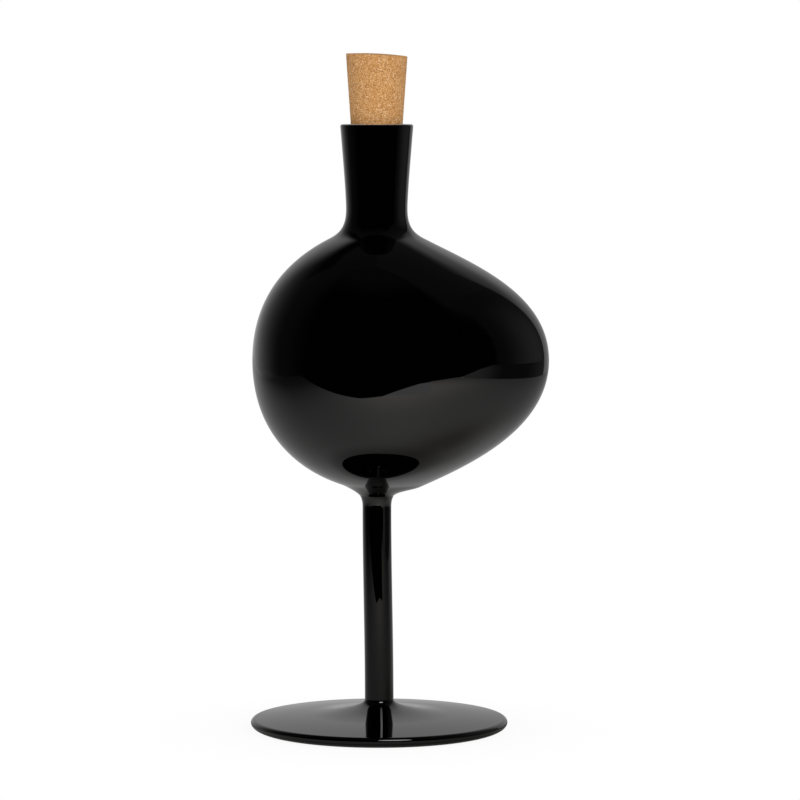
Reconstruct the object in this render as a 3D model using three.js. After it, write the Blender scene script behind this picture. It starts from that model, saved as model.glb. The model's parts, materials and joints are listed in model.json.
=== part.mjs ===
// A stemmed glass bottle: a mouth-blown body with one side drawn out into a nose and a flared
// neck, a drawn stem, a pressed disc foot, and a tapered cork in the neck. The three pieces of
// glass are made apart and joined hot at two flat seams, which stay visible.
// Millimetres and degrees, +Z up. The origin is the centre of the foot's underside, and the
// nose points along +X.
import * as THREE from 'three';

// Foot: a flat-bottomed disc whose top rises slowly to a flared collar under the stem. Its
// heights add up, from the table to the seam with the stem.
const FOOT_RADIUS = 58.2;
const RIM_UNDER_HEIGHT = 3.5;        // from the table up to where the rounded rim is widest
const RIM_UNDER_ROUND = 7;           // how far the rim draws in below its widest line
const RIM_OVER_HEIGHT = 2.15;        // from the widest line up to the top face
const RIM_OVER_ROUND = 2.2;          // how far the rim draws in above its widest line
const FOOT_TOP_RISE = 4.85;          // what the top gains between the rim and the flare
const FOOT_RIM_SLOPE = 5.2;          // how steep the top is where it leaves the rim
const FOOT_RIM_HANDLE = 20;
const FOOT_FLARE_SLOPE = 14;         // how steep it is where the flare begins
const FOOT_FLARE_HANDLE = 5;
const FOOT_FLARE_HEIGHT = 3.65;
const FOOT_FLARE_WIDTH = 6.2;        // how far the flare spreads out from the stem

// Stem: a round rod that sways a little to one side on its way up
const STEM_RADIUS = 6.5;
const STEM_LENGTH = 92.65;
const STEM_SWAY = 1;
const SEAM_SPREAD = 1.2;             // what the rod's radius gains where it meets the body
const SEAM_SPREAD_LENGTH = 5;
const STEM_SEAM_SLOPE = 60;          // steepness of the stem's side where it meets the seam

// Body: heights add up from its seam with the stem, and radii are from the neck's axis. Its
// outline has a round side, towards -X, and a nose side. A handle, here as in the foot, is the
// length over which an outline holds the direction that it has at a point.
const BODY_SEAM_SLOPE = 48;          // steepness of the body's side where it leaves the seam
const BODY_SEAM_HANDLE = 2.4;
const ROUND_UNDER_RADIUS = 16.6;
const ROUND_UNDER_HEIGHT = 5.3;
const ROUND_UNDER_SLOPE = 18.9;
const ROUND_UNDER_HANDLE = 22.3;
const NOSE_UNDER_RADIUS = 19.2;
const NOSE_UNDER_HEIGHT = 3.65;
const NOSE_UNDER_SLOPE = 24.4;
const NOSE_UNDER_HANDLE = 23.6;
const EQUATOR_HEIGHT = 61.2;
const EQUATOR_HANDLE_DOWN = 31.6;
const EQUATOR_HANDLE_UP = 30;
const ROUND_REACH = 56.2;
const NOSE_REACH = 77.7;
const BODY_DEPTH_RADIUS = 54.6;      // front-to-back radius at the equator
const NOSE_SHARPNESS = 2.3;          // how much the drawing out is gathered towards the tip
const SHOULDER_RISE = 54.9;          // from the equator up to where the neck's fillet begins
const ROUND_SHOULDER_SLOPE = 26.9;
const ROUND_SHOULDER_HANDLE = 19.4;
const NOSE_SHOULDER_SLOPE = 27.2;
const NOSE_SHOULDER_HANDLE = 25.7;

// Neck: narrowest at its waist, from where it flares to a thick rim
const NECK_FILLET_RISE = 13.2;
const NECK_FILLET_WIDTH = 7.6;
const NECK_FILLET_HANDLE = 5.2;
const WAIST_BORE_RADIUS = 9.7;
const WAIST_HANDLE = 8;
const FLARE_START = 7;               // height above the waist where the flare begins
const NECK_LENGTH = 38.1;            // from waist to rim
const MOUTH_RADIUS = 11.95;
const RIM_WALL = 4.45;
const RIM_ROUND = 1;                 // rounding of both edges of the rim

// Walls: thin in the body, thicker in the neck, thickest over the stem
const BODY_WALL = 3;
const NECK_WALL = 4.2;
const FLOOR_DISH = 2.2;              // how far the middle of the floor lies below its edge
const FLOOR_HANDLE = 8;

// Cork: a tapered plug whose side meets the mouth
const CORK_STAND_OUT = 31.7;         // what shows above the rim, up to the crown's middle
const CORK_SEAT_DEPTH = 11.2;        // what sits in the neck
const CORK_TAPER = 3.9;
const CORK_CLEARANCE = 0.25;
const CORK_TOP_TILT = 2.6;           // its top was cut off a little out of square
const CORK_TOP_CROWN = 0.6;          // how far the top swells up in its middle
const CORK_TOP_ROUND = 0.5;
const CORK_END_ROUND = 0.8;
const MOUTH_CONE_RUN_ON = 4.8;       // the bore keeps the cork's taper this far past its end

// Facets
const BODY_SEGMENTS = 56;
const FOOT_SEGMENTS = 64;
const STEM_SEGMENTS = 24;
const CORK_SEGMENTS = 40;
const RIM_STEPS = 4;
const FOOT_TOP_STEPS = 6;
const FOOT_FLARE_STEPS = 8;
const STEM_STEPS = 12;
const SEAM_STEPS = 3;
const BODY_STEPS = 11;
const NECK_FILLET_STEPS = 6;
const FLARE_STEPS = 4;
const FLOOR_STEPS = 4;
const CROWN_STEPS = 3;
const NOSE_DETAIL = 4;               // the nose side's outline is read off this much finer

const glass = () => new THREE.MeshStandardMaterial({ color: 0x050506, roughness: 0.03 });
const cork = () => new THREE.MeshStandardMaterial({ color: 0xc9975f, roughness: 0.9 });

// Heights and radii that follow from the sizes above
const footRimHeight = RIM_UNDER_HEIGHT + RIM_OVER_HEIGHT;
const footHeight = footRimHeight + FOOT_TOP_RISE + FOOT_FLARE_HEIGHT;
const seamRadius = STEM_RADIUS + SEAM_SPREAD;
const spreadStart = STEM_LENGTH - SEAM_SPREAD_LENGTH;
const bodyBase = footHeight + STEM_LENGTH;
const waistRadius = WAIST_BORE_RADIUS + NECK_WALL;
const shoulderRadius = waistRadius + NECK_FILLET_WIDTH;
const shoulderHeight = EQUATOR_HEIGHT + SHOULDER_RISE;
const waistHeight = shoulderHeight + NECK_FILLET_RISE;
const rimHeight = waistHeight + NECK_LENGTH;
const rimRadius = MOUTH_RADIUS + RIM_WALL;
const floorHeight = NOSE_UNDER_HEIGHT + BODY_WALL - FLOOR_DISH;
const taperRun = Math.tan(THREE.MathUtils.degToRad(CORK_TAPER));
const coneDepth = CORK_SEAT_DEPTH + MOUTH_CONE_RUN_ON;
const corkLength = CORK_STAND_OUT + CORK_SEAT_DEPTH;
const corkBase = bodyBase + rimHeight - CORK_SEAT_DEPTH;

// A point moved by a length along a direction given in degrees above +X
function along(point, degrees, length) {
  const angle = THREE.MathUtils.degToRad(degrees);
  return new THREE.Vector2(point.x + length * Math.cos(angle), point.y + length * Math.sin(angle));
}

// Points along a curve, without its first one
function points(curve, steps) {
  return curve.getPoints(steps).slice(1);
}

// Turns a profile of radius and height points about Z
function turned(profile, segments) {
  const geometry = new THREE.LatheGeometry(profile, segments);
  return geometry.rotateX(Math.PI / 2);
}

// Foot
function footProfile() {
  const rimTop = new THREE.Vector2(FOOT_RADIUS - RIM_OVER_ROUND, footRimHeight);
  const flareFoot = new THREE.Vector2(STEM_RADIUS + FOOT_FLARE_WIDTH, footRimHeight + FOOT_TOP_RISE);
  const seam = new THREE.Vector2(STEM_RADIUS, footHeight);
  const rim = new THREE.Path();
  rim.moveTo(0, 0);
  rim.lineTo(FOOT_RADIUS - RIM_UNDER_ROUND, 0);
  rim.absellipse(
    FOOT_RADIUS - RIM_UNDER_ROUND, RIM_UNDER_HEIGHT,
    RIM_UNDER_ROUND, RIM_UNDER_HEIGHT, -Math.PI / 2, 0,
  );
  rim.absellipse(
    FOOT_RADIUS - RIM_OVER_ROUND, RIM_UNDER_HEIGHT,
    RIM_OVER_ROUND, RIM_OVER_HEIGHT, 0, Math.PI / 2,
  );
  const top = new THREE.CubicBezierCurve(
    rimTop, along(rimTop, 180 - FOOT_RIM_SLOPE, FOOT_RIM_HANDLE),
    along(flareFoot, -FOOT_FLARE_SLOPE, FOOT_FLARE_HANDLE), flareFoot,
  );
  const flare = new THREE.CubicBezierCurve(
    flareFoot, along(flareFoot, 180 - FOOT_FLARE_SLOPE, FOOT_FLARE_WIDTH / 2),
    along(seam, -90, FOOT_FLARE_HEIGHT / 2), seam,
  );
  return [
    ...rim.getPoints(RIM_STEPS),
    ...points(top, FOOT_TOP_STEPS),
    ...points(flare, FOOT_FLARE_STEPS),
    new THREE.Vector2(0, footHeight),
  ];
}

// Stem
function stemProfile() {
  const rod = new THREE.LineCurve(
    new THREE.Vector2(STEM_RADIUS, 0), new THREE.Vector2(STEM_RADIUS, spreadStart),
  );
  const seam = new THREE.Vector2(seamRadius, STEM_LENGTH);
  const spread = new THREE.CubicBezierCurve(
    rod.v2, along(rod.v2, 90, SEAM_SPREAD_LENGTH / 2),
    along(seam, STEM_SEAM_SLOPE + 180, SEAM_SPREAD), seam,
  );
  return [
    new THREE.Vector2(0, 0),
    ...rod.getPoints(STEM_STEPS),
    ...points(spread, SEAM_STEPS + 1),
    new THREE.Vector2(0, STEM_LENGTH),
  ];
}

function stemGeometry() {
  const geometry = turned(stemProfile(), STEM_SEGMENTS);
  const position = geometry.attributes.position;
  for (let i = 0; i < position.count; i += 1) {
    const sway = STEM_SWAY * THREE.MathUtils.smoothstep(position.getZ(i), 0, spreadStart);
    position.setX(i, position.getX(i) - sway);
  }
  return geometry;
}

// Body and neck: the curves of one side's outline, from the seam up to the rim
function bodyCurves(side) {
  const seam = new THREE.Vector2(seamRadius, 0);
  const under = new THREE.Vector2(side.underRadius, side.underHeight);
  const equator = new THREE.Vector2(side.reach, EQUATOR_HEIGHT);
  const shoulder = new THREE.Vector2(shoulderRadius, shoulderHeight);
  const waist = new THREE.Vector2(waistRadius, waistHeight);
  const flareStart = along(waist, 90, FLARE_START);
  const rimEdge = new THREE.Vector2(rimRadius, rimHeight - RIM_ROUND);
  return {
    seamFillet: new THREE.CubicBezierCurve(
      seam, along(seam, BODY_SEAM_SLOPE, BODY_SEAM_HANDLE),
      along(under, side.underSlope + 180, BODY_SEAM_HANDLE), under,
    ),
    lower: new THREE.CubicBezierCurve(
      under, along(under, side.underSlope, side.underHandle),
      along(equator, -90, EQUATOR_HANDLE_DOWN), equator,
    ),
    upper: new THREE.CubicBezierCurve(
      equator, along(equator, 90, EQUATOR_HANDLE_UP),
      along(shoulder, -side.shoulderSlope, side.shoulderHandle), shoulder,
    ),
    neckFillet: new THREE.CubicBezierCurve(
      shoulder, along(shoulder, 180 - side.shoulderSlope, NECK_FILLET_HANDLE),
      along(waist, -90, WAIST_HANDLE), waist,
    ),
    flare: new THREE.QuadraticBezierCurve(waist, flareStart, rimEdge),
  };
}

const roundSide = {
  reach: ROUND_REACH,
  shoulderSlope: ROUND_SHOULDER_SLOPE,
  shoulderHandle: ROUND_SHOULDER_HANDLE,
  underRadius: ROUND_UNDER_RADIUS,
  underHeight: ROUND_UNDER_HEIGHT,
  underSlope: ROUND_UNDER_SLOPE,
  underHandle: ROUND_UNDER_HANDLE,
};
const noseSide = {
  reach: NOSE_REACH,
  shoulderSlope: NOSE_SHOULDER_SLOPE,
  shoulderHandle: NOSE_SHOULDER_HANDLE,
  underRadius: NOSE_UNDER_RADIUS,
  underHeight: NOSE_UNDER_HEIGHT,
  underSlope: NOSE_UNDER_SLOPE,
  underHandle: NOSE_UNDER_HANDLE,
};

// The outside of one side as points; detail multiplies their number
function outerOutline(side, detail) {
  const curves = bodyCurves(side);
  return [
    curves.seamFillet.getPoint(0),
    ...points(curves.seamFillet, SEAM_STEPS * detail),
    ...points(curves.lower, BODY_STEPS * detail),
    ...points(curves.upper, BODY_STEPS * detail),
    ...points(curves.neckFillet, NECK_FILLET_STEPS * detail),
    ...points(curves.flare, FLARE_STEPS * detail),
  ];
}

// A curve of the outline set in by the wall, which thickens from the shoulder to the waist
function insetPoints(curve, steps) {
  const inset = [];
  for (let i = 1; i <= steps; i += 1) {
    const point = curve.getPoint(i / steps);
    const tangent = curve.getTangent(i / steps);
    const thickening = THREE.MathUtils.smoothstep(point.y, shoulderHeight, waistHeight);
    const wall = THREE.MathUtils.lerp(BODY_WALL, NECK_WALL, thickening);
    inset.push(new THREE.Vector2(point.x - wall * tangent.y, point.y + wall * tangent.x));
  }
  return inset;
}

// The inside of one side, from the middle of the floor up to the mouth's cone
function innerOutline(side, detail) {
  const curves = bodyCurves(side);
  const wall = [
    ...insetPoints(curves.lower, BODY_STEPS * detail),
    ...insetPoints(curves.upper, BODY_STEPS * detail),
    ...insetPoints(curves.neckFillet, NECK_FILLET_STEPS * detail),
  ];
  const floor = new THREE.Vector2(0, floorHeight);
  const floorEdge = wall[0];
  const floorCurve = new THREE.CubicBezierCurve(
    floor, along(floor, 0, FLOOR_HANDLE),
    along(floorEdge, side.underSlope + 180, FLOOR_HANDLE), floorEdge,
  );
  const waist = wall[wall.length - 1];
  const coneEnd = new THREE.Vector2(MOUTH_RADIUS - coneDepth * taperRun, rimHeight - coneDepth);
  const handle = (coneEnd.y - waist.y) / 3;
  const throat = new THREE.CubicBezierCurve(
    waist, along(waist, 90, handle), along(coneEnd, -90 - CORK_TAPER, handle), coneEnd,
  );
  const mouth = new THREE.Vector2(MOUTH_RADIUS - RIM_ROUND * taperRun, rimHeight - RIM_ROUND);
  return [
    ...points(floorCurve, FLOOR_STEPS * detail).slice(0, -1),
    ...wall,
    ...points(throat, FLARE_STEPS * detail),
    mouth,
  ];
}

// Radius of an outline at a height
function radiusAt(outline, height) {
  const above = outline.findIndex((point) => point.y >= height);
  if (above < 0) return outline[outline.length - 1].x;
  if (above === 0) return outline[0].x;
  const lower = outline[above - 1];
  const upper = outline[above];
  return THREE.MathUtils.mapLinear(height, lower.y, upper.y, lower.x, upper.x);
}

// A level section: round towards -X, drawn out towards +X, and a little flat front to back
// where it is wide
function section(roundRadius, noseRadius, height) {
  const flattening = (1 - BODY_DEPTH_RADIUS / ROUND_REACH) * (roundRadius / ROUND_REACH) ** 2;
  const depth = roundRadius * (1 - flattening);
  const ring = [];
  for (let i = 0; i < BODY_SEGMENTS; i += 1) {
    const angle = (2 * Math.PI * i) / BODY_SEGMENTS;
    const pull = (noseRadius - roundRadius) * Math.max(Math.cos(angle), 0) ** NOSE_SHARPNESS;
    ring.push([roundRadius * Math.cos(angle) + pull, depth * Math.sin(angle), height]);
  }
  return ring;
}

// Sections at the heights of one outline's points, each drawn out to the other outline
function sections(roundOutline, noseOutline) {
  return roundOutline.map((point) => section(point.x, radiusAt(noseOutline, point.y), point.y));
}

// The rim's rounded top, from the outer edge over to the mouth
function rimSections() {
  const outerCentre = rimRadius - RIM_ROUND;
  const innerCentre = MOUTH_RADIUS + RIM_ROUND;
  const rings = [];
  for (const [centre, from, to] of [[outerCentre, 30, 90], [innerCentre, 90, 150]]) {
    for (const degrees of [from, (from + to) / 2, to]) {
      const point = along(new THREE.Vector2(centre, rimHeight - RIM_ROUND), degrees, RIM_ROUND);
      rings.push(section(point.x, point.x, point.y));
    }
  }
  return rings;
}

// A closed skin over rings of equal length, with a point in the middle of each end
function skin(startPoint, rings, endPoint) {
  const count = rings[0].length;
  const vertices = [startPoint, ...rings.flat(), endPoint];
  const last = vertices.length - 1;
  const triangles = [];
  for (let i = 0; i < count; i += 1) {
    const next = (i + 1) % count;
    triangles.push(0, 1 + next, 1 + i);
    for (let row = 0; row < rings.length - 1; row += 1) {
      const low = 1 + row * count;
      const high = low + count;
      triangles.push(low + i, low + next, high + next, low + i, high + next, high + i);
    }
    const top = 1 + (rings.length - 1) * count;
    triangles.push(top + i, top + next, last);
  }
  const geometry = new THREE.BufferGeometry();
  geometry.setAttribute('position', new THREE.Float32BufferAttribute(vertices.flat(), 3));
  geometry.setIndex(triangles);
  geometry.computeVertexNormals();
  return geometry;
}

function bodyGeometry() {
  const outside = sections(outerOutline(roundSide, 1), outerOutline(noseSide, NOSE_DETAIL));
  const inside = sections(innerOutline(roundSide, 1), innerOutline(noseSide, NOSE_DETAIL));
  inside.reverse();
  return skin([0, 0, 0], [...outside, ...rimSections(), ...inside], [0, 0, floorHeight]);
}

// Cork
function corkGeometry() {
  const endRadius = MOUTH_RADIUS - CORK_CLEARANCE - CORK_SEAT_DEPTH * taperRun;
  const topRadius = endRadius + corkLength * taperRun;
  const edgeHeight = corkLength - CORK_TOP_CROWN;
  const crownEdge = new THREE.Vector2(topRadius - CORK_TOP_ROUND, edgeHeight);
  const crown = new THREE.QuadraticBezierCurve(
    crownEdge, new THREE.Vector2(crownEdge.x / 2, corkLength), new THREE.Vector2(0, corkLength),
  );
  const profile = [
    new THREE.Vector2(0, 0),
    new THREE.Vector2(endRadius - CORK_END_ROUND, 0),
    new THREE.Vector2(endRadius + CORK_END_ROUND * taperRun, CORK_END_ROUND),
    new THREE.Vector2(topRadius - CORK_TOP_ROUND * taperRun, edgeHeight - CORK_TOP_ROUND),
    ...crown.getPoints(CROWN_STEPS),
  ];
  const geometry = turned(profile, CORK_SEGMENTS);
  const position = geometry.attributes.position;
  const tilt = Math.tan(THREE.MathUtils.degToRad(CORK_TOP_TILT));
  for (let i = 0; i < position.count; i += 1) {
    if (position.getZ(i) > CORK_SEAT_DEPTH) {
      position.setZ(i, position.getZ(i) - tilt * position.getX(i));
    }
  }
  return geometry;
}

// Assembly
function piece(name, geometry, material, x, z) {
  const mesh = new THREE.Mesh(geometry, material);
  mesh.name = name;
  mesh.position.set(x, 0, z);
  return mesh;
}

const bottle = new THREE.Group();
bottle.add(piece('foot', turned(footProfile(), FOOT_SEGMENTS), glass(), 0, 0));
bottle.add(piece('stem', stemGeometry(), glass(), 0, footHeight));
bottle.add(piece('blown_body', bodyGeometry(), glass(), -STEM_SWAY, bodyBase));
bottle.add(piece('cork_stopper', corkGeometry(), cork(), -STEM_SWAY, corkBase));

export default bottle;
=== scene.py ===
import json
import math

import bmesh
import bpy
from bpy.props import FloatProperty, FloatVectorProperty, PointerProperty
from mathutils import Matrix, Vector, noise
from mathutils.geometry import interpolate_bezier

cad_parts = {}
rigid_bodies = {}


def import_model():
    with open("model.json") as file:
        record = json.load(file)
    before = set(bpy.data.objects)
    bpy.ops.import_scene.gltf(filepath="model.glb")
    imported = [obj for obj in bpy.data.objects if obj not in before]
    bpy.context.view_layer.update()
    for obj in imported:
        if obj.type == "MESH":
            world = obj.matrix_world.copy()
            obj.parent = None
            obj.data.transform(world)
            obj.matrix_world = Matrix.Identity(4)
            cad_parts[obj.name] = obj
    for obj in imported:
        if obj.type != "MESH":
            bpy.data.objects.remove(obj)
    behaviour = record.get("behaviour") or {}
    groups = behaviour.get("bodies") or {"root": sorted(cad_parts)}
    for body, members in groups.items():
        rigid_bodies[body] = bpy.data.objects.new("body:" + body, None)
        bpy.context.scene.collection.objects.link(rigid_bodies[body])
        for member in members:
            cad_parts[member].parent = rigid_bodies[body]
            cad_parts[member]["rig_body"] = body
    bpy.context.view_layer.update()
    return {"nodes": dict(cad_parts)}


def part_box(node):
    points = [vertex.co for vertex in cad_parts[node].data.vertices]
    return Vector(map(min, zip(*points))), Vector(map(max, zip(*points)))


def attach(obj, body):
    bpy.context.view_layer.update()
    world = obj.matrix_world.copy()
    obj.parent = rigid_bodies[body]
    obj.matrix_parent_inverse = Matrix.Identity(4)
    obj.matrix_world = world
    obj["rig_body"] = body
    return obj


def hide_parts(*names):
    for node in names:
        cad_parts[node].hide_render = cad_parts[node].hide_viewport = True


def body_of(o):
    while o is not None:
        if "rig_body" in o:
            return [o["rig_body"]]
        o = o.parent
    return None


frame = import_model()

bl_info = {
    "name": "Stemmed Glass Bottle",
    "version": (1, 0, 0),
    "blender": (4, 5, 0),
    "location": "View3D > Sidebar > Bottle",
    "description": "Shapes a stemmed glass bottle, its cork and a pale studio for it",
    "category": "Add Mesh",
}

FOOT_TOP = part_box("foot")[1].z
STEM_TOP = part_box("stem")[1].z
RIM_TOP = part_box("blown_body")[1].z
CORK_LOW, CORK_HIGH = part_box("cork_stopper")
NECK_AXIS = (CORK_LOW.x + CORK_HIGH.x) / 2

# Heights of the body's outline above its seam with the stem
FLOOR_HEIGHT = 0.00445
EQUATOR_HEIGHT = 0.0612
SHOULDER_HEIGHT = 0.1161
WAIST_HEIGHT = 0.1293
RIM_HEIGHT = RIM_TOP - STEM_TOP

# What both sides of the outline share. A handle is the length over which the outline holds the
# direction that it has at a point.
SEAM_SLOPE = 48
SEAM_HANDLE = 0.0024
EQUATOR_HANDLE_DOWN = 0.0316
EQUATOR_HANDLE_UP = 0.03
NECK_FILLET_WIDTH = 0.0076
NECK_FILLET_HANDLE = 0.0052
WAIST_HANDLE = 0.008
FLARE_START = 0.007           # above the waist
RIM_ROUND = 0.001
FLOOR_HANDLE = 0.008
CORK_TAPER = 3.9              # the mouth's cone has it too
MOUTH_CONE_RUN_ON = 0.0048    # how far the cone runs on past the cork's end

# The two sides of the outline
ROUND_SIDE = {
    "under": (0.0166, 0.0053), "under_slope": 18.9, "under_handle": 0.0223,
    "shoulder_slope": 26.9, "shoulder_handle": 0.0194,
}
NOSE_SIDE = {
    "under": (0.0192, 0.00365), "under_slope": 24.4, "under_handle": 0.0236,
    "shoulder_slope": 27.2, "shoulder_handle": 0.0257,
}

TURN_STEPS = 192
CREASE_ANGLE = math.radians(32)
WHITE = (1, 1, 1)
PANEL_SIDE = 0.735            # from the bottle to the studio's grey panel

# Sockets of a Mix node that mixes colours
MIX_FACTOR, MIX_FIRST, MIX_SECOND, MIX_RESULT = 0, 6, 7, 2


class GlassSizes(bpy.types.PropertyGroup):
    """Sizes of the glass."""

    foot_radius: FloatProperty(
        name="Foot radius", description="Half the width of the disc foot",
        default=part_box("foot")[1].x, unit="LENGTH")
    foot_rim_height: FloatProperty(
        name="Foot rim", description="Height of the foot's rim",
        default=0.00565, unit="LENGTH")
    foot_top_rise: FloatProperty(
        name="Foot rise", description="What the foot's top gains between rim and flare",
        default=0.00485, unit="LENGTH")
    foot_flare_width: FloatProperty(
        name="Foot flare", description="How far the flare spreads out from the stem",
        default=0.0062, unit="LENGTH")
    foot_droop: FloatProperty(
        name="Foot droop", description="How much lower the rim's top was pressed at the front",
        default=0.00035, unit="LENGTH", precision=5)
    stem_radius: FloatProperty(
        name="Stem radius", description="Half the thickness of the stem",
        default=0.0065, unit="LENGTH")
    stem_sway: FloatProperty(
        name="Stem sway", description="How far the stem leans aside on its way up",
        default=-NECK_AXIS, unit="LENGTH")
    stem_wave: FloatProperty(
        name="Stem wave", description="How far the stem waves to and fro on its way up",
        default=0.0001, unit="LENGTH", precision=5)
    seam_spread: FloatProperty(
        name="Seam spread", description="What the stem's radius gains at the body",
        default=0.0012, unit="LENGTH")
    round_reach: FloatProperty(
        name="Round side", description="From the neck's axis to the round side",
        default=0.0562, unit="LENGTH")
    nose_reach: FloatProperty(
        name="Nose", description="From the neck's axis to the tip of the nose",
        default=0.0777, unit="LENGTH")
    depth_radius: FloatProperty(
        name="Depth", description="Front-to-back radius of the body",
        default=0.0546, unit="LENGTH")
    nose_sharpness: FloatProperty(
        name="Nose sharpness", description="How much the drawing out is gathered at the tip",
        default=2.3, min=0.5, max=6)
    body_wall: FloatProperty(
        name="Body wall", description="Thickness of the blown wall",
        default=0.003, unit="LENGTH")
    neck_wall: FloatProperty(
        name="Neck wall", description="Thickness of the neck at its waist",
        default=0.0042, unit="LENGTH")
    waist_radius: FloatProperty(
        name="Neck waist", description="Radius of the neck where it is narrowest",
        default=0.0139, unit="LENGTH")
    rim_radius: FloatProperty(
        name="Rim", description="Outer radius of the rim",
        default=0.0164, unit="LENGTH")
    mouth_radius: FloatProperty(
        name="Mouth", description="Inner radius of the rim",
        default=0.01195, unit="LENGTH")
    waviness: FloatProperty(
        name="Waviness", description="Depth of the slow waves that blowing leaves in the wall",
        default=0.00012, unit="LENGTH", precision=5)


class CorkSizes(bpy.types.PropertyGroup):
    """Sizes of the cork."""

    taper: FloatProperty(
        name="Taper", description="Lean of the cork's side",
        default=math.radians(CORK_TAPER), subtype="ANGLE")
    top_tilt: FloatProperty(
        name="Top tilt", description="How far from square the top was cut",
        default=math.radians(2.6), subtype="ANGLE")
    top_crown: FloatProperty(
        name="Top crown", description="How far the top swells up in its middle",
        default=0.0006, unit="LENGTH", precision=5)
    edge: FloatProperty(
        name="Edge", description="Rounding of the cork's edges",
        default=0.0006, unit="LENGTH", precision=5)
    grain_depth: FloatProperty(
        name="Grain depth", description="How far crumbs are missing from the surface",
        default=0.00016, unit="LENGTH", precision=5)


class Finish(bpy.types.PropertyGroup):
    """Colours of the object and the light round it."""

    glass_colour: FloatVectorProperty(
        name="Glass", description="Colour of the glass", subtype="COLOR",
        default=(0.0002, 0.0002, 0.00024), min=0, max=1)
    cork_light: FloatVectorProperty(
        name="Cork, light", description="Lightest crumbs of the cork", subtype="COLOR",
        default=(0.85, 0.59, 0.34), min=0, max=1)
    cork_middle: FloatVectorProperty(
        name="Cork, middle", description="Common colour of the cork", subtype="COLOR",
        default=(0.58, 0.283, 0.089), min=0, max=1)
    cork_dark: FloatVectorProperty(
        name="Cork, dark", description="Dark crumbs and pores", subtype="COLOR",
        default=(0.22, 0.07, 0.008), min=0, max=1)
    floor_colour: FloatVectorProperty(
        name="Floor", description="Colour of the floor", subtype="COLOR",
        default=(0.95, 0.95, 0.95), min=0, max=1)
    backdrop_light: FloatProperty(
        name="Backdrop light", description="Brightness of the backdrop seen in the glass",
        default=0.45, min=0, max=2)
    key_power: FloatProperty(
        name="Key light", description="Power of the soft key light",
        default=12, min=0, unit="POWER")
    glint_power: FloatProperty(
        name="Glint light", description="Power of the lamps that glint in the foot and the stem",
        default=5.5, min=0, unit="POWER")
    fill_light: FloatProperty(
        name="Fill light", description="Brightness of the light from all round",
        default=0.55, min=0, max=2)


class Signal:
    """One output of a node. Arithmetic on it adds Math nodes to its tree."""

    def __init__(self, node, output=0):
        self.node = node
        self.output = output

    @classmethod
    def make(cls, tree, kind, settings, sockets, output=0):
        """Adds a node: its settings first, then the values or links of its sockets."""
        node = tree.nodes.new(kind)
        for name, value in settings.items():
            if name == "stops":
                set_stops(node.color_ramp, value)
            else:
                setattr(node, name, value)
        for name, value in sockets.items():
            if isinstance(value, Signal):
                tree.links.new(value.node.outputs[value.output], node.inputs[name])
            else:
                node.inputs[name].default_value = value
        return cls(node, output)

    def math(self, operation, first, second):
        return Signal.make(
            self.node.id_data, "ShaderNodeMath", {"operation": operation},
            {0: first, 1: second})

    def __add__(self, other):
        return self.math("ADD", self, other)

    __radd__ = __add__

    def __sub__(self, other):
        return self.math("SUBTRACT", self, other)

    def __rsub__(self, other):
        return self.math("SUBTRACT", other, self)

    def __mul__(self, other):
        return self.math("MULTIPLY", self, other)

    __rmul__ = __mul__

    def __truediv__(self, other):
        return self.math("DIVIDE", self, other)

    def __rtruediv__(self, other):
        return self.math("DIVIDE", other, self)

    def __pow__(self, other):
        return self.math("POWER", self, other)

    def __gt__(self, other):
        return self.math("GREATER_THAN", self, other)


def set_stops(ramp, stops):
    """Gives a colour ramp its places and colours, in order."""
    for extra in list(ramp.elements)[1:]:
        ramp.elements.remove(extra)
    for i, (place, colour) in enumerate(stops):
        element = ramp.elements[0] if i == 0 else ramp.elements.new(place)
        element.position = place
        element.color = (*colour, 1)


def smooth(value, start, end):
    """0 at start and 1 at end, with soft ends; start may be the larger."""
    return Signal.make(
        value.node.id_data, "ShaderNodeMapRange", {"interpolation_type": "SMOOTHSTEP"},
        {"Value": value, "From Min": start, "From Max": end})


def mix(factor, first, second):
    """A colour between two colours."""
    def full(colour):
        return colour if isinstance(colour, Signal) else (*colour, 1)
    return Signal.make(
        factor.node.id_data, "ShaderNodeMix", {"data_type": "RGBA"},
        {MIX_FACTOR: factor, MIX_FIRST: full(first), MIX_SECOND: full(second)}, MIX_RESULT)


def coordinates(tree, kind="Object"):
    """Where a point lies on its object. In the world, Generated gives the direction of view."""
    return Signal.make(tree, "ShaderNodeTexCoord", {}, {}, kind)


def axes(place):
    """The x, y and z of a place."""
    split = Signal.make(place.node.id_data, "ShaderNodeSeparateXYZ", {}, {"Vector": place}, "X")
    return split, Signal(split.node, "Y"), Signal(split.node, "Z")


def clouds(place, scale, detail, roughness):
    """Soft noise round 0.5."""
    return Signal.make(
        place.node.id_data, "ShaderNodeTexNoise", {},
        {"Vector": place, "Scale": scale, "Detail": detail, "Roughness": roughness})


def show(shader, kind="Material"):
    """Ends a tree with its output, for a material or the world."""
    Signal.make(
        shader.node.id_data, "ShaderNodeOutput" + kind, {}, {"Surface": shader})


def new_material(name):
    """A material with an empty tree."""
    material = bpy.data.materials.new(name)
    material.use_nodes = True
    material.node_tree.nodes.clear()
    return material


def at(radius, height):
    """A point of an outline, with the radius as x and the height as z."""
    return Vector((radius, 0, height))


def along(start, degrees, length):
    """The point that lies a length away, at an angle above the level."""
    angle = math.radians(degrees)
    return start + length * at(math.cos(angle), math.sin(angle))


def run(start, handle, end_handle, end, steps):
    """Points of a Bezier curve, without its first one."""
    return interpolate_bezier(start, handle, end_handle, end, steps + 1)[1:]


def quarter(start, corner, end, steps):
    """A rounded corner from start to end, without its first point."""
    roundness = 0.5523
    return run(start, start.lerp(corner, roundness), end.lerp(corner, roundness), end, steps)


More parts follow.
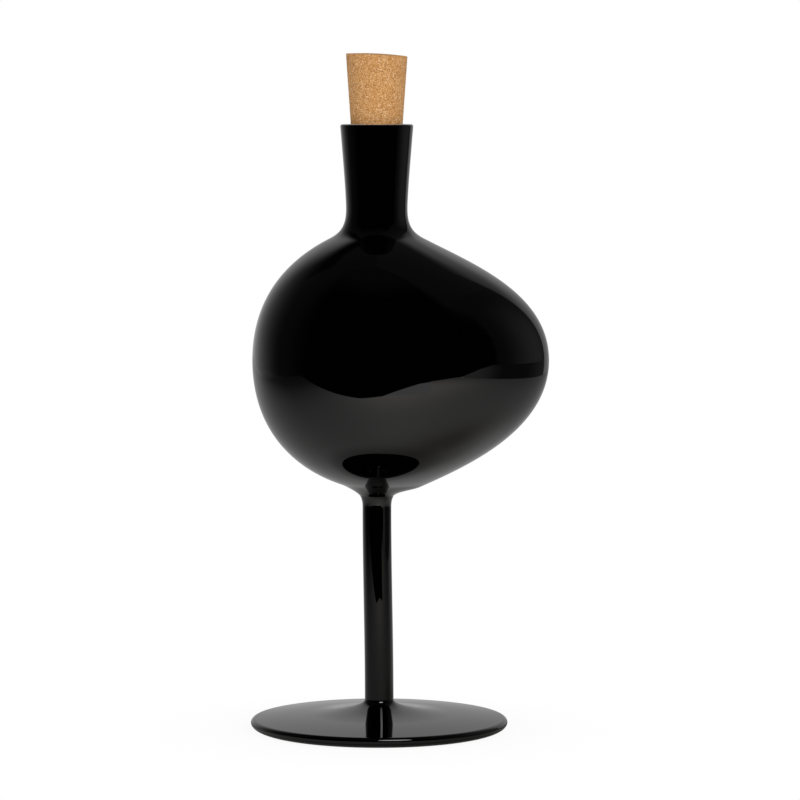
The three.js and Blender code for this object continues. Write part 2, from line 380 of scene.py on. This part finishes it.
def bend(start, corner, end, steps):
    """A curve drawn towards a corner, without its first point."""
    return run(start, start.lerp(corner, 2 / 3), end.lerp(corner, 2 / 3), end, steps)


def fade(value, start, end):
    """The number from 0 at start to 1 at end, with soft ends."""
    part = min(max((value - start) / (end - start), 0), 1)
    return part * part * (3 - 2 * part)


def radius_at(outline, height):
    """The radius of a rising outline at a height."""
    for low, high in zip(outline, outline[1:]):
        if high.z >= height:
            part = (height - low.z) / max(high.z - low.z, 1e-9)
            return low.x + (high.x - low.x) * max(part, 0)
    return outline[-1].x


def outside(sizes, side, reach, detail=1):
    """One side of the body from the seam to the rim, as its runs of points."""
    seam = at(sizes.stem_radius + sizes.seam_spread, 0)
    under = at(*side["under"])
    equator = at(reach, EQUATOR_HEIGHT)
    shoulder = at(sizes.waist_radius + NECK_FILLET_WIDTH, SHOULDER_HEIGHT)
    waist = at(sizes.waist_radius, WAIST_HEIGHT)
    rim_edge = at(sizes.rim_radius, RIM_HEIGHT - RIM_ROUND)
    under_slope, shoulder_slope = side["under_slope"], side["shoulder_slope"]
    return [
        [seam] + run(
            seam, along(seam, SEAM_SLOPE, SEAM_HANDLE),
            along(under, under_slope + 180, SEAM_HANDLE), under, 8 * detail),
        run(under, along(under, under_slope, side["under_handle"]),
            along(equator, -90, EQUATOR_HANDLE_DOWN), equator, 44 * detail),
        run(equator, along(equator, 90, EQUATOR_HANDLE_UP),
            along(shoulder, -shoulder_slope, side["shoulder_handle"]), shoulder, 44 * detail),
        run(shoulder, along(shoulder, 180 - shoulder_slope, NECK_FILLET_HANDLE),
            along(waist, -90, WAIST_HANDLE), waist, 16 * detail),
        bend(waist, along(waist, 90, FLARE_START), rim_edge, 14 * detail),
    ]


def inside(sizes, side, reach, detail=1):
    """The inner wall of one side, from the middle of the floor up to the mouth."""
    runs = outside(sizes, side, reach, detail)
    skin = runs[0][-1:] + runs[1] + runs[2] + runs[3]
    wall = []
    for i, spot in enumerate(skin):
        along_skin = (skin[min(i + 1, len(skin) - 1)] - skin[max(i - 1, 0)]).normalized()
        thickening = fade(spot.z, SHOULDER_HEIGHT, WAIST_HEIGHT)
        thickness = sizes.body_wall + (sizes.neck_wall - sizes.body_wall) * thickening
        wall.append(spot + thickness * at(-along_skin.z, along_skin.x))
    wall = wall[::2]          # hidden, so every second point is enough
    floor = at(0, FLOOR_HEIGHT)
    handle = along(wall[0], side["under_slope"] + 180, FLOOR_HANDLE)
    floor_run = run(floor, along(floor, 0, FLOOR_HANDLE), handle, wall[0], 10 * detail)[:-1]
    depth = RIM_TOP - CORK_LOW.z + MOUTH_CONE_RUN_ON
    taper = math.tan(math.radians(CORK_TAPER))
    cone_end = at(sizes.mouth_radius - depth * taper, RIM_HEIGHT - depth)
    third = (cone_end.z - wall[-1].z) / 3
    throat = run(
        wall[-1], along(wall[-1], 90, third),
        along(cone_end, -90 - CORK_TAPER, third), cone_end, 12 * detail)
    mouth = at(sizes.mouth_radius - RIM_ROUND * taper, RIM_HEIGHT - RIM_ROUND)
    return [*floor_run, *wall, *throat, mouth]


def turned(outline, steps=TURN_STEPS, reaches=None):
    """A closed body of revolution. The layer carries how far each point is drawn out."""
    shape = bmesh.new()
    layer = shape.verts.layers.float.new("reach")
    ring = [shape.verts.new(spot) for spot in outline]
    for vertex, reach in zip(ring, reaches or [spot.x for spot in outline]):
        vertex[layer] = reach
    edges = [shape.edges.new(pair) for pair in zip(ring, ring[1:])]
    bmesh.ops.spin(
        shape, geom=ring + edges, cent=(0, 0, 0), axis=(0, 0, 1), dvec=(0, 0, 0),
        angle=2 * math.pi, steps=steps, use_merge=True, use_duplicate=False)
    bmesh.ops.remove_doubles(shape, verts=shape.verts, dist=1e-6)
    bmesh.ops.recalc_face_normals(shape, faces=shape.faces)
    return shape


def sink(shape, depth_at):
    """Moves each point in along its normal, by the depth that a function gives for its place."""
    shape.normal_update()
    moves = [-depth_at(vertex.co) * vertex.normal for vertex in shape.verts]
    for vertex, move in zip(shape.verts, moves):
        vertex.co += move


def finish_piece(shape, name, node, material):
    """Makes an object of the shape in the place of a CAD node, on that node's body."""
    for face in shape.faces:
        face.smooth = True
    for edge in shape.edges:
        edge.smooth = edge.calc_face_angle() < CREASE_ANGLE
    mesh = bpy.data.meshes.new(name)
    shape.to_mesh(mesh)
    shape.free()
    mesh.materials.append(material)
    piece = bpy.data.objects.new(name, mesh)
    bpy.context.scene.collection.objects.link(piece)
    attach(piece, body_of(frame["nodes"][node])[0])
    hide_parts(node)
    return piece


def black_glass(finish):
    """Deep black glass with a bright polish that varies a very little."""
    material = bpy.data.materials.get("polished_glass")
    if material:
        return material
    material = new_material("polished_glass")
    tree = material.node_tree
    place = coordinates(tree)
    coarse, fine = clouds(place, 38.0, 2.0, 0.45), clouds(place, 240.0, 3.0, 0.6)
    colour = finish.glass_colour
    tint = mix(coarse, [0.7 * part for part in colour], [1.3 * part for part in colour])
    polish = 0.008 + 0.012 * smooth(coarse * 0.6 + fine * 0.4, 0.35, 0.75)
    show(Signal.make(
        tree, "ShaderNodeBsdfPrincipled", {},
        {"Base Color": tint, "Roughness": polish, "IOR": 1.5}))
    return material


def pressed_cork(finish):
    """Cork of small pressed crumbs, with paler and darker ones, pores and specks."""
    material = new_material("pressed_cork")
    tree = material.node_tree
    place = coordinates(tree)
    crumb_scale, speck_scale = 2800.0, 700.0

    def crumbs(scale, output):
        return Signal.make(
            tree, "ShaderNodeTexVoronoi", {}, {"Vector": place, "Scale": scale}, output)

    def grain(scale, detail):
        return clouds(place, scale, detail, 0.6)

    def chance(scale, part):
        """A number of its own for each crumb, from one part of its random colour."""
        colour = crumbs(scale, "Color")
        return Signal.make(tree, "ShaderNodeSeparateColor", {}, {"Color": colour}, part)

    shade = chance(crumb_scale, "Red") * 0.7 + grain(5200.0, 1.0) * 0.3
    tone = Signal.make(
        tree, "ShaderNodeValToRGB",
        {"stops": [
            (0.12, finish.cork_dark), (0.4, finish.cork_middle),
            (0.62, finish.cork_middle), (0.84, finish.cork_light)]},
        {"Fac": shade})
    patches = smooth(grain(130.0, 2.0), 0.4, 0.65)
    tone = mix(patches * 0.35, tone, finish.cork_middle)
    speck = (chance(speck_scale, "Green") > 0.93) * smooth(
        crumbs(speck_scale, "Distance"), 0.4, 0.2)
    tone = mix(speck * 0.5, tone, finish.cork_dark)
    height = grain(1400.0, 3.0) * 0.5 + crumbs(crumb_scale, "Distance") * 0.5 - speck * 0.8
    relief = Signal.make(
        tree, "ShaderNodeBump", {}, {"Strength": 0.18, "Distance": 0.0003, "Height": height})
    show(Signal.make(
        tree, "ShaderNodeBsdfPrincipled", {},
        {"Base Color": tone, "Roughness": 0.82 + 0.12 * shade, "Normal": relief}))
    return material


class BOTTLE_OT_foot(bpy.types.Operator):
    """Presses the disc foot with its flared collar"""

    bl_idname = "bottle.foot"
    bl_label = "Foot"

    def execute(self, context):
        sizes = context.scene.glass_sizes
        radius, rim = sizes.foot_radius, sizes.foot_rim_height
        under = at(radius - 0.007, 0)
        widest = at(radius, 0.0035)
        rim_top = at(radius - 0.0022, rim)
        middle = at(0.033, 0.0076)
        flare_foot = at(sizes.stem_radius + sizes.foot_flare_width, rim + sizes.foot_top_rise)
        seam = at(sizes.stem_radius, FOOT_TOP)
        outline = [at(0, 0), under]
        outline += quarter(under, at(radius, 0), widest, 16)
        outline += quarter(widest, at(radius, rim), rim_top, 12)
        # The top is steep at the rim, almost level in its middle and steep again at the flare
        rim_slope, middle_slope, flare_slope = 6.8, 3, 14
        outer_handle, inner_handle = 0.008, 0.007
        outline += run(
            rim_top, along(rim_top, 180 - rim_slope, outer_handle),
            along(middle, -middle_slope, outer_handle), middle, 24)
        outline += run(
            middle, along(middle, 180 - middle_slope, inner_handle),
            along(flare_foot, -flare_slope, inner_handle), flare_foot, 24)
        outline += run(
            flare_foot, along(flare_foot, 180 - flare_slope, sizes.foot_flare_width / 2),
            along(seam, -90, (seam.z - flare_foot.z) / 2), seam, 36)
        outline += [at(0, FOOT_TOP)]
        shape = turned(outline)
        for vertex in shape.verts:
            spot = vertex.co
            outward = fade(spot.xy.length, flare_foot.x, rim_top.x) * fade(spot.z, widest.z, rim)
            spot.z -= sizes.foot_droop * outward * (0.5 - 0.5 * spot.y / radius)
        finish_piece(
            shape, "pressed_foot", "foot", black_glass(context.scene.finish))
        return {"FINISHED"}


class BOTTLE_OT_stem(bpy.types.Operator):
    """Draws the stem, which sways a little aside and waves to and fro"""

    bl_idname = "bottle.stem"
    bl_label = "Stem"

    def execute(self, context):
        sizes = context.scene.glass_sizes
        length = STEM_TOP - FOOT_TOP
        spread_length, seam_slope, rod_steps = 0.005, 60, 60
        spread_start = at(sizes.stem_radius, length - spread_length)
        seam = at(sizes.stem_radius + sizes.seam_spread, length)
        outline = [at(0, 0)]
        outline += [
            at(sizes.stem_radius, spread_start.z * step / rod_steps)
            for step in range(rod_steps + 1)]
        outline += run(
            spread_start, along(spread_start, 90, spread_length / 2),
            along(seam, seam_slope + 180, sizes.seam_spread), seam, 14)
        outline += [at(0, length)]
        shape = turned(outline, steps=TURN_STEPS // 2)
        for vertex in shape.verts:
            risen = min(vertex.co.z / spread_start.z, 1)
            vertex.co.x -= sizes.stem_sway * fade(risen, 0, 1)
            vertex.co.y += sizes.stem_wave * math.sin(2 * math.pi * risen)
        bmesh.ops.translate(shape, verts=shape.verts, vec=(0, 0, FOOT_TOP))
        finish_piece(
            shape, "drawn_stem", "stem", black_glass(context.scene.finish))
        return {"FINISHED"}


class BOTTLE_OT_body(bpy.types.Operator):
    """Blows the body, draws out its nose and opens its neck"""

    bl_idname = "bottle.body"
    bl_label = "Body and neck"

    def execute(self, context):
        sizes = context.scene.glass_sizes
        outer = sum(outside(sizes, ROUND_SIDE, sizes.round_reach), [])
        outer_nose = sum(outside(sizes, NOSE_SIDE, sizes.nose_reach, 4), [])
        inner = inside(sizes, ROUND_SIDE, sizes.round_reach)
        inner_nose = inside(sizes, NOSE_SIDE, sizes.nose_reach, 4)
        outer_top = at(sizes.rim_radius - RIM_ROUND, RIM_HEIGHT)
        inner_top = at(sizes.mouth_radius + RIM_ROUND, RIM_HEIGHT)
        rim = quarter(outer[-1], at(sizes.rim_radius, RIM_HEIGHT), outer_top, 8)
        rim += [inner_top]
        rim += quarter(inner_top, at(sizes.mouth_radius, RIM_HEIGHT), inner[-1], 8)[:-1]
        outline = [at(0, 0), *outer, *rim, *reversed(inner), at(0, FLOOR_HEIGHT)]
        reaches = [0]
        reaches += [radius_at(outer_nose, spot.z) for spot in outer]
        reaches += [spot.x for spot in rim]
        reaches += [radius_at(inner_nose, spot.z) for spot in reversed(inner)]
        reaches += [0]
        shape = turned(outline, reaches=reaches)
        self.draw_out(shape, sizes)

        def wave(spot):
            """Slow waves in the wall, none at the seam and the rim."""
            depth = fade(spot.z, 0.002, 0.02) * (1 - fade(spot.z, 0.14, 0.16))
            return sizes.waviness * depth * (0.5 + 0.5 * noise.noise(spot * 24))

        sink(shape, wave)
        bmesh.ops.translate(shape, verts=shape.verts, vec=(NECK_AXIS, 0, STEM_TOP))
        finish_piece(
            shape, "blown_bottle", "blown_body",
            black_glass(context.scene.finish))
        return {"FINISHED"}

    @staticmethod
    def draw_out(shape, sizes):
        """Pulls one side of the round form out into the nose and flattens its depth a little."""
        layer = shape.verts.layers.float["reach"]
        flatness = 1 - sizes.depth_radius / sizes.round_reach
        for vertex in shape.verts:
            radius = math.hypot(vertex.co.x, vertex.co.y)
            if radius > 1e-6:
                pull = max(vertex.co.x / radius, 0) ** sizes.nose_sharpness
                vertex.co.x += (vertex[layer] - radius) * pull
                vertex.co.y *= 1 - flatness * (radius / sizes.round_reach) ** 2


class BOTTLE_OT_cork(bpy.types.Operator):
    """Turns the tapered cork and crumbles its surface a little"""

    bl_idname = "bottle.cork"
    bl_label = "Cork"

    def execute(self, context):
        sizes = context.scene.cork_sizes
        run_out = math.tan(sizes.taper)
        length = 0.04288
        seat = 0.0112
        bottom_steps, side_steps = 6, 90
        top_radius = (CORK_HIGH.x - CORK_LOW.x) / 2
        end_radius = top_radius - length * run_out
        edge = sizes.edge
        top = length - sizes.top_crown
        low, high = at(end_radius, 0), at(top_radius, top)
        low_side = at(end_radius + edge * run_out, edge)
        high_side = at(top_radius - edge * run_out, top - edge)
        face_edge = at(top_radius - edge, top)
        face_low = at(end_radius - edge, 0)
        outline = [at(end_radius * step / bottom_steps, 0) for step in range(bottom_steps)]
        outline += [face_low]
        outline += quarter(face_low, low, low_side, 4)
        outline += [
            low_side.lerp(high_side, step / side_steps) for step in range(1, side_steps + 1)]
        outline += quarter(high_side, high, face_edge, 6)
        outline += bend(face_edge, at(face_edge.x / 2, length), at(0, length), 30)
        shape = turned(outline, steps=176)

        # The part that stands out of the neck leans, most at its top, which was cut askew
        tilt = math.tan(sizes.top_tilt)
        for vertex in shape.verts:
            vertex.co.z -= tilt * vertex.co.x * fade(vertex.co.z, seat, top)

        def pit(spot):
            """Small pits where crumbs are missing."""
            coarse, fine = noise.noise(spot * 700), noise.noise(spot * 1500)
            return sizes.grain_depth * (max(coarse, 0) + 0.5 * max(fine, 0))

        sink(shape, pit)
        bmesh.ops.translate(shape, verts=shape.verts, vec=(NECK_AXIS, 0, CORK_LOW.z))
        cork = finish_piece(
            shape, "pressed_cork", "cork_stopper", pressed_cork(context.scene.finish))
        cork.visible_glossy = False
        return {"FINISHED"}


class BOTTLE_OT_studio(bpy.types.Operator):
    """Sets up the pale floor, the soft light and the camera"""

    bl_idname = "bottle.studio"
    bl_label = "Studio"

    def execute(self, context):
        finish = context.scene.finish
        self.lay_floor(finish)
        self.stand_panel()
        self.light_world(context, finish)
        self.hang_lamps(finish)
        self.place_camera(context)
        return {"FINISHED"}

    @staticmethod
    def sheet(name, corners):
        """Lays a flat sheet of the studio, and gives it and its material's empty tree."""
        shape = bmesh.new()
        shape.faces.new([shape.verts.new(corner) for corner in corners])
        mesh = bpy.data.meshes.new(name)
        shape.to_mesh(mesh)
        shape.free()
        material = new_material(name)
        mesh.materials.append(material)
        made = bpy.data.objects.new(name, mesh)
        bpy.context.scene.collection.objects.link(made)
        return made, material.node_tree

    def lay_floor(self, finish):
        """A white table, whose near edge shows only in the glass."""
        left_end, right_end, far_end = -1.1, PANEL_SIDE, 2.6
        near_edge = [
            (left_end, -0.39), (-0.1, -0.392), (0, -0.425), (0.08, -0.441), (0.16, -0.425),
            (0.22, -0.4), (0.275, -0.375), (0.47, -0.645), (right_end, -0.64)]
        outline = [*near_edge, (right_end, far_end), (left_end, far_end)]
        tree = self.sheet("floor", [(x, y, 0) for x, y in outline])[1]
        x, y, _ = axes(coordinates(tree))
        path = Signal.make(tree, "ShaderNodeLightPath", {}, {}, "Is Camera Ray")
        mirrored = Signal(path.node, "Is Glossy Ray")
        slant = Signal.make(tree, "ShaderNodeLayerWeight", {}, {"Blend": 0.5}, "Facing")

        def pool(centre, spread):
            """1 in the middle of a soft round patch, falling off away from it."""
            across, deep = (x - centre[0]) / spread[0], (y - centre[1]) / spread[1]
            return 1 / (1 + (across * across + deep * deep) ** 1.5)

        def blend(factor, first, second):
            return Signal.make(
                tree, "ShaderNodeMixShader", {}, {0: factor, 1: first, 2: second})

        # The glass sees painted light on the table: dim on the left and a little on the right,
        # with painted pools of lamp light
        distance = (x * x + y * y) ** 0.5
        left = 0.075 + 0.415 * smooth(x + 0.7 * y.math("MAXIMUM", y, -0.07), -0.78, -0.06)
        left = left + 0.1 * smooth(x, -0.85, -1.1) * smooth(y, 0.2, 0.55)
        right = 1 - 0.35 * smooth(x, 0.15, 0.75)
        painted_pools = 0.62 * pool((0.26, -0.52), (0.42, 0.21))
        for strength, centre, spread in (
                (0.12, (0.08, -0.3), (0.12, 0.15)),
                (0.09, (0.05, -0.14), (0.06, 0.05)),
                (0.11, (0.155, 0.085), (0.043, 0.055))):
            painted_pools = painted_pools + strength * pool(centre, spread)

        # Painted shadows lie beside the foot and under its rim, and painted shade dims the near
        # part at a slant
        painted_shadow = pool((0.105, -0.03), (0.08, 0.047))
        shade = (1 - 0.47 * painted_shadow) * (1 - 0.28 * pool((0.07, 0.04), (0.04, 0.035)))
        under_rim = (1 - 0.4 * smooth(distance, 0.1, 0.056)) * (
            1 - 0.6 * smooth(distance, 0.0598, 0.058))
        # Painted shade: the near part of the table's glow dims where it is seen at a slant
        painted_slant_shade = 1 - (1 - smooth(slant, 1, 0.72)) * smooth(y, 0.25, -0.05)
        level = (left * right + painted_pools) * shade * under_rim * painted_slant_shade
        # A warm tint for the big painted pool of lamp light and for the painted shadow beside the
        # foot
        warmth = pool((0.25, -0.55), (0.34, 0.26)) + 0.8 * painted_shadow
        # The glass sees this glow as the table's reflection, with its painted light and painted
        # shadows
        seen_in_glass = Signal.make(
            tree, "ShaderNodeEmission", {},
            {"Color": mix(warmth, WHITE, (1, 0.95, 0.86)), "Strength": level})

        # The camera sees plain white with a faint shadow round the foot, other rays matt white
        contact = 0.07 * smooth(distance, 0.12, 0.058)
        plain = Signal.make(tree, "ShaderNodeEmission", {}, {"Color": (*WHITE, 1)})
        matt = Signal.make(
            tree, "ShaderNodeBsdfDiffuse", {}, {"Color": (*finish.floor_colour, 1)})
        seen_plainly = blend(path, matt, blend(contact, plain, matt))
        show(blend(mirrored, seen_plainly, seen_in_glass))

    def stand_panel(self):
        """A dim grey panel to the right, which only the glass sees, on a foot of its own tone."""
        near, far, height, foot = -0.31, 0.66, 1, 0.125
        foot_slope = [(-0.57, 0), (-0.57, 0.02), (-0.43, 0.089)]
        outline = [*foot_slope, (near, foot), (near, height), (far, height), (far, 0)]
        panel, tree = self.sheet("grey_panel", [(PANEL_SIDE, y, z) for y, z in outline])
        _, y, z = axes(coordinates(tree))
        upper = (0.04 + 0.12 * smooth(y, -0.25, 0.15) * smooth(y, 0.75, 0.2)) * smooth(
            y, near, -0.25)
        upper = upper + (0.042 - upper) * smooth(z, 0.3, 0.9)
        lower = 0.045 + 0.25 * smooth(y, -0.2, -0.5) + 0.04 * smooth(y, 0.05, 0.35)
        level = lower + (upper - lower) * (z > foot)
        show(Signal.make(tree, "ShaderNodeEmission", {}, {"Strength": level}))
        panel.visible_camera = panel.visible_diffuse = panel.visible_shadow = False

    @staticmethod
    def light_world(context, finish):
        """White all round for the camera; a backdrop and a dark room in the glass."""
        world = bpy.data.worlds.new("studio")
        context.scene.world = world
        world.use_nodes = True
        tree = world.node_tree
        tree.nodes.clear()
        x, y, z = axes(coordinates(tree, "Generated"))
        degree = math.pi / 180

        def spread(value, start, end):
            return smooth(value, start * degree, end * degree)

        # The turn of a direction is 0 towards the camera's side, grows to the right and is 180
        # degrees straight behind the bottle. Its rise is its angle above the level.
        turn = x.math("ARCTAN2", x, 0 - y)
        rise = z.math("ARCSINE", z, 0)

        # The pale backdrop: brighter low on its left, dimmer high on its right, one tone where
        # they meet behind the bottle, and dark in its upper corners and over its top
        aside = 180 * degree - turn.math("ABSOLUTE", turn, 0)
        low = 0.3 * spread(rise, 8, -3) + 0.4 * spread(rise, -5, -9)
        high = 0.35 * spread(rise, 24, 36)
        behind = 0.5 * (low + high) * spread(aside, 14, 0)
        corner = spread(aside, 16, 46) * spread(rise, 2, 42)
        left = spread(turn, -98, -165) * (1 + low - behind) * (1 - 0.85 * corner)
        right = spread(turn, 132.5, 136.5) * (1 - high + behind) * (1 - 0.5 * corner)
        sweep = finish.backdrop_light * (1 + 0.15 * spread(rise, 12, 28)) * spread(rise, 53, 40)

        # Faint light on the walls at both sides, with a darker gap on the left, and on the ceiling
        dusk = 0.036 * spread(rise, -20, -6) * (1 + 0.3 * spread(rise, -6, -10))
        gap = spread(turn, -114, -124) * spread(rise, 36, 44) * spread(rise, 62, 57)
        haze = 0.05 * spread(turn, 54, 66) * spread(rise, 25, 46) + dusk * spread(
            turn, -62, -95) * (1 - 0.85 * gap)
        haze = haze.math("MAXIMUM", haze, 0.03 * spread(rise, 52, 74))

        # Bright ground in front on the right, below a brink that slopes up to the right
        first, second = 0.336 * turn - 23.8 * degree, 0.175 * turn - 18.8 * degree
        brink = first.math("MINIMUM", first, second)
        ground = 0.9 * smooth(rise - brink, 0, -0.01) * spread(turn, 0, 4) * spread(turn, 56, 51)
        room = sweep * (left + right) + haze + ground

        path = Signal.make(tree, "ShaderNodeLightPath", {}, {}, "Is Camera Ray")
        mirrored = Signal(path.node, "Is Glossy Ray")
        strength = path + mirrored * room + (1 - path) * (1 - mirrored) * finish.fill_light
        show(Signal.make(
            tree, "ShaderNodeBackground", {}, {"Color": (*WHITE, 1), "Strength": strength}),
            "World")

    @staticmethod
    def hang_lamps(finish):
        """Soft lamps from both sides, and two whose glints only the foot or the stem shows."""
        key, glint = finish.key_power, finish.glint_power
        lamps = (
            ("key", (0.83, -1.4, 0.9), (0.9, 0.9), 1.05 * key, None),
            ("fill", (-0.9, -1.3, 0.7), (0.9, 0.9), 0.5 * key, None),
            ("rim_glint", (0.32, -1, 1.2), (0.68, 0.75), 1.8 * glint, "pressed_foot"),
            ("stem_glint", (0.43, -1.14, 0.7), (0.4, 1.1), 1.5 * glint, "drawn_stem"))
        target = Vector((0, 0, 0.1))
        for name, place, size, power, only in lamps:
            lamp = bpy.data.lights.new(name, "AREA")
            lamp.shape = "ELLIPSE" if only else "RECTANGLE"
            lamp.size, lamp.size_y = size
            lamp.energy = power
            hung = bpy.data.objects.new(name, lamp)
            hung.location = place
            aim = target - hung.location
            hung.rotation_euler = aim.to_track_quat("-Z", "Y").to_euler()
            bpy.context.scene.collection.objects.link(hung)
            if only:
                lit = bpy.data.collections.new(name)
                lit.objects.link(bpy.data.objects[only])
                hung.light_linking.receiver_collection = lit
            else:
                hung.visible_glossy = False

    @staticmethod
    def place_camera(context):
        """Level with the cork, far back, looking slightly down."""
        aside, distance, height, drop = 0.00944, 1.9, 0.302, 0.152
        lens = bpy.data.cameras.new("camera")
        lens.sensor_width = 36
        lens.lens = 190.08
        lens.clip_end = 20
        camera = bpy.data.objects.new("camera", lens)
        camera.location = (aside, -distance, height)
        camera.rotation_euler = (math.pi / 2 - math.atan(drop / distance), 0, 0)
        context.scene.collection.objects.link(camera)
        context.scene.camera = camera
        context.scene.view_settings.view_transform = "Standard"


class BOTTLE_PT_panel(bpy.types.Panel):
    """Lists the pieces of the bottle and their sizes"""

    bl_idname = "BOTTLE_PT_panel"
    bl_label = "Stemmed Bottle"
    bl_space_type = "VIEW_3D"
    bl_region_type = "UI"
    bl_category = "Bottle"

    def draw(self, context):
        for operator in PIECES:
            self.layout.operator(operator.bl_idname)
        for group in ("glass_sizes", "cork_sizes", "finish"):
            values = getattr(context.scene, group)
            column = self.layout.column(align=True)
            for name in values.bl_rna.properties.keys():
                if name not in {"rna_type", "name"}:
                    column.prop(values, name)


GROUPS = {"glass_sizes": GlassSizes, "cork_sizes": CorkSizes, "finish": Finish}
PIECES = (BOTTLE_OT_foot, BOTTLE_OT_stem, BOTTLE_OT_body, BOTTLE_OT_cork, BOTTLE_OT_studio)


def register():
    for made in (*GROUPS.values(), *PIECES, BOTTLE_PT_panel):
        bpy.utils.register_class(made)
    for name, group in GROUPS.items():
        setattr(bpy.types.Scene, name, PointerProperty(type=group))


def unregister():
    for name in GROUPS:
        delattr(bpy.types.Scene, name)
    for made in reversed((*GROUPS.values(), *PIECES, BOTTLE_PT_panel)):
        bpy.utils.unregister_class(made)


def main():
    register()
    bpy.ops.bottle.foot()
    bpy.ops.bottle.stem()
    bpy.ops.bottle.body()
    bpy.ops.bottle.cork()
    bpy.ops.bottle.studio()


if __name__ == "__main__":
    main()
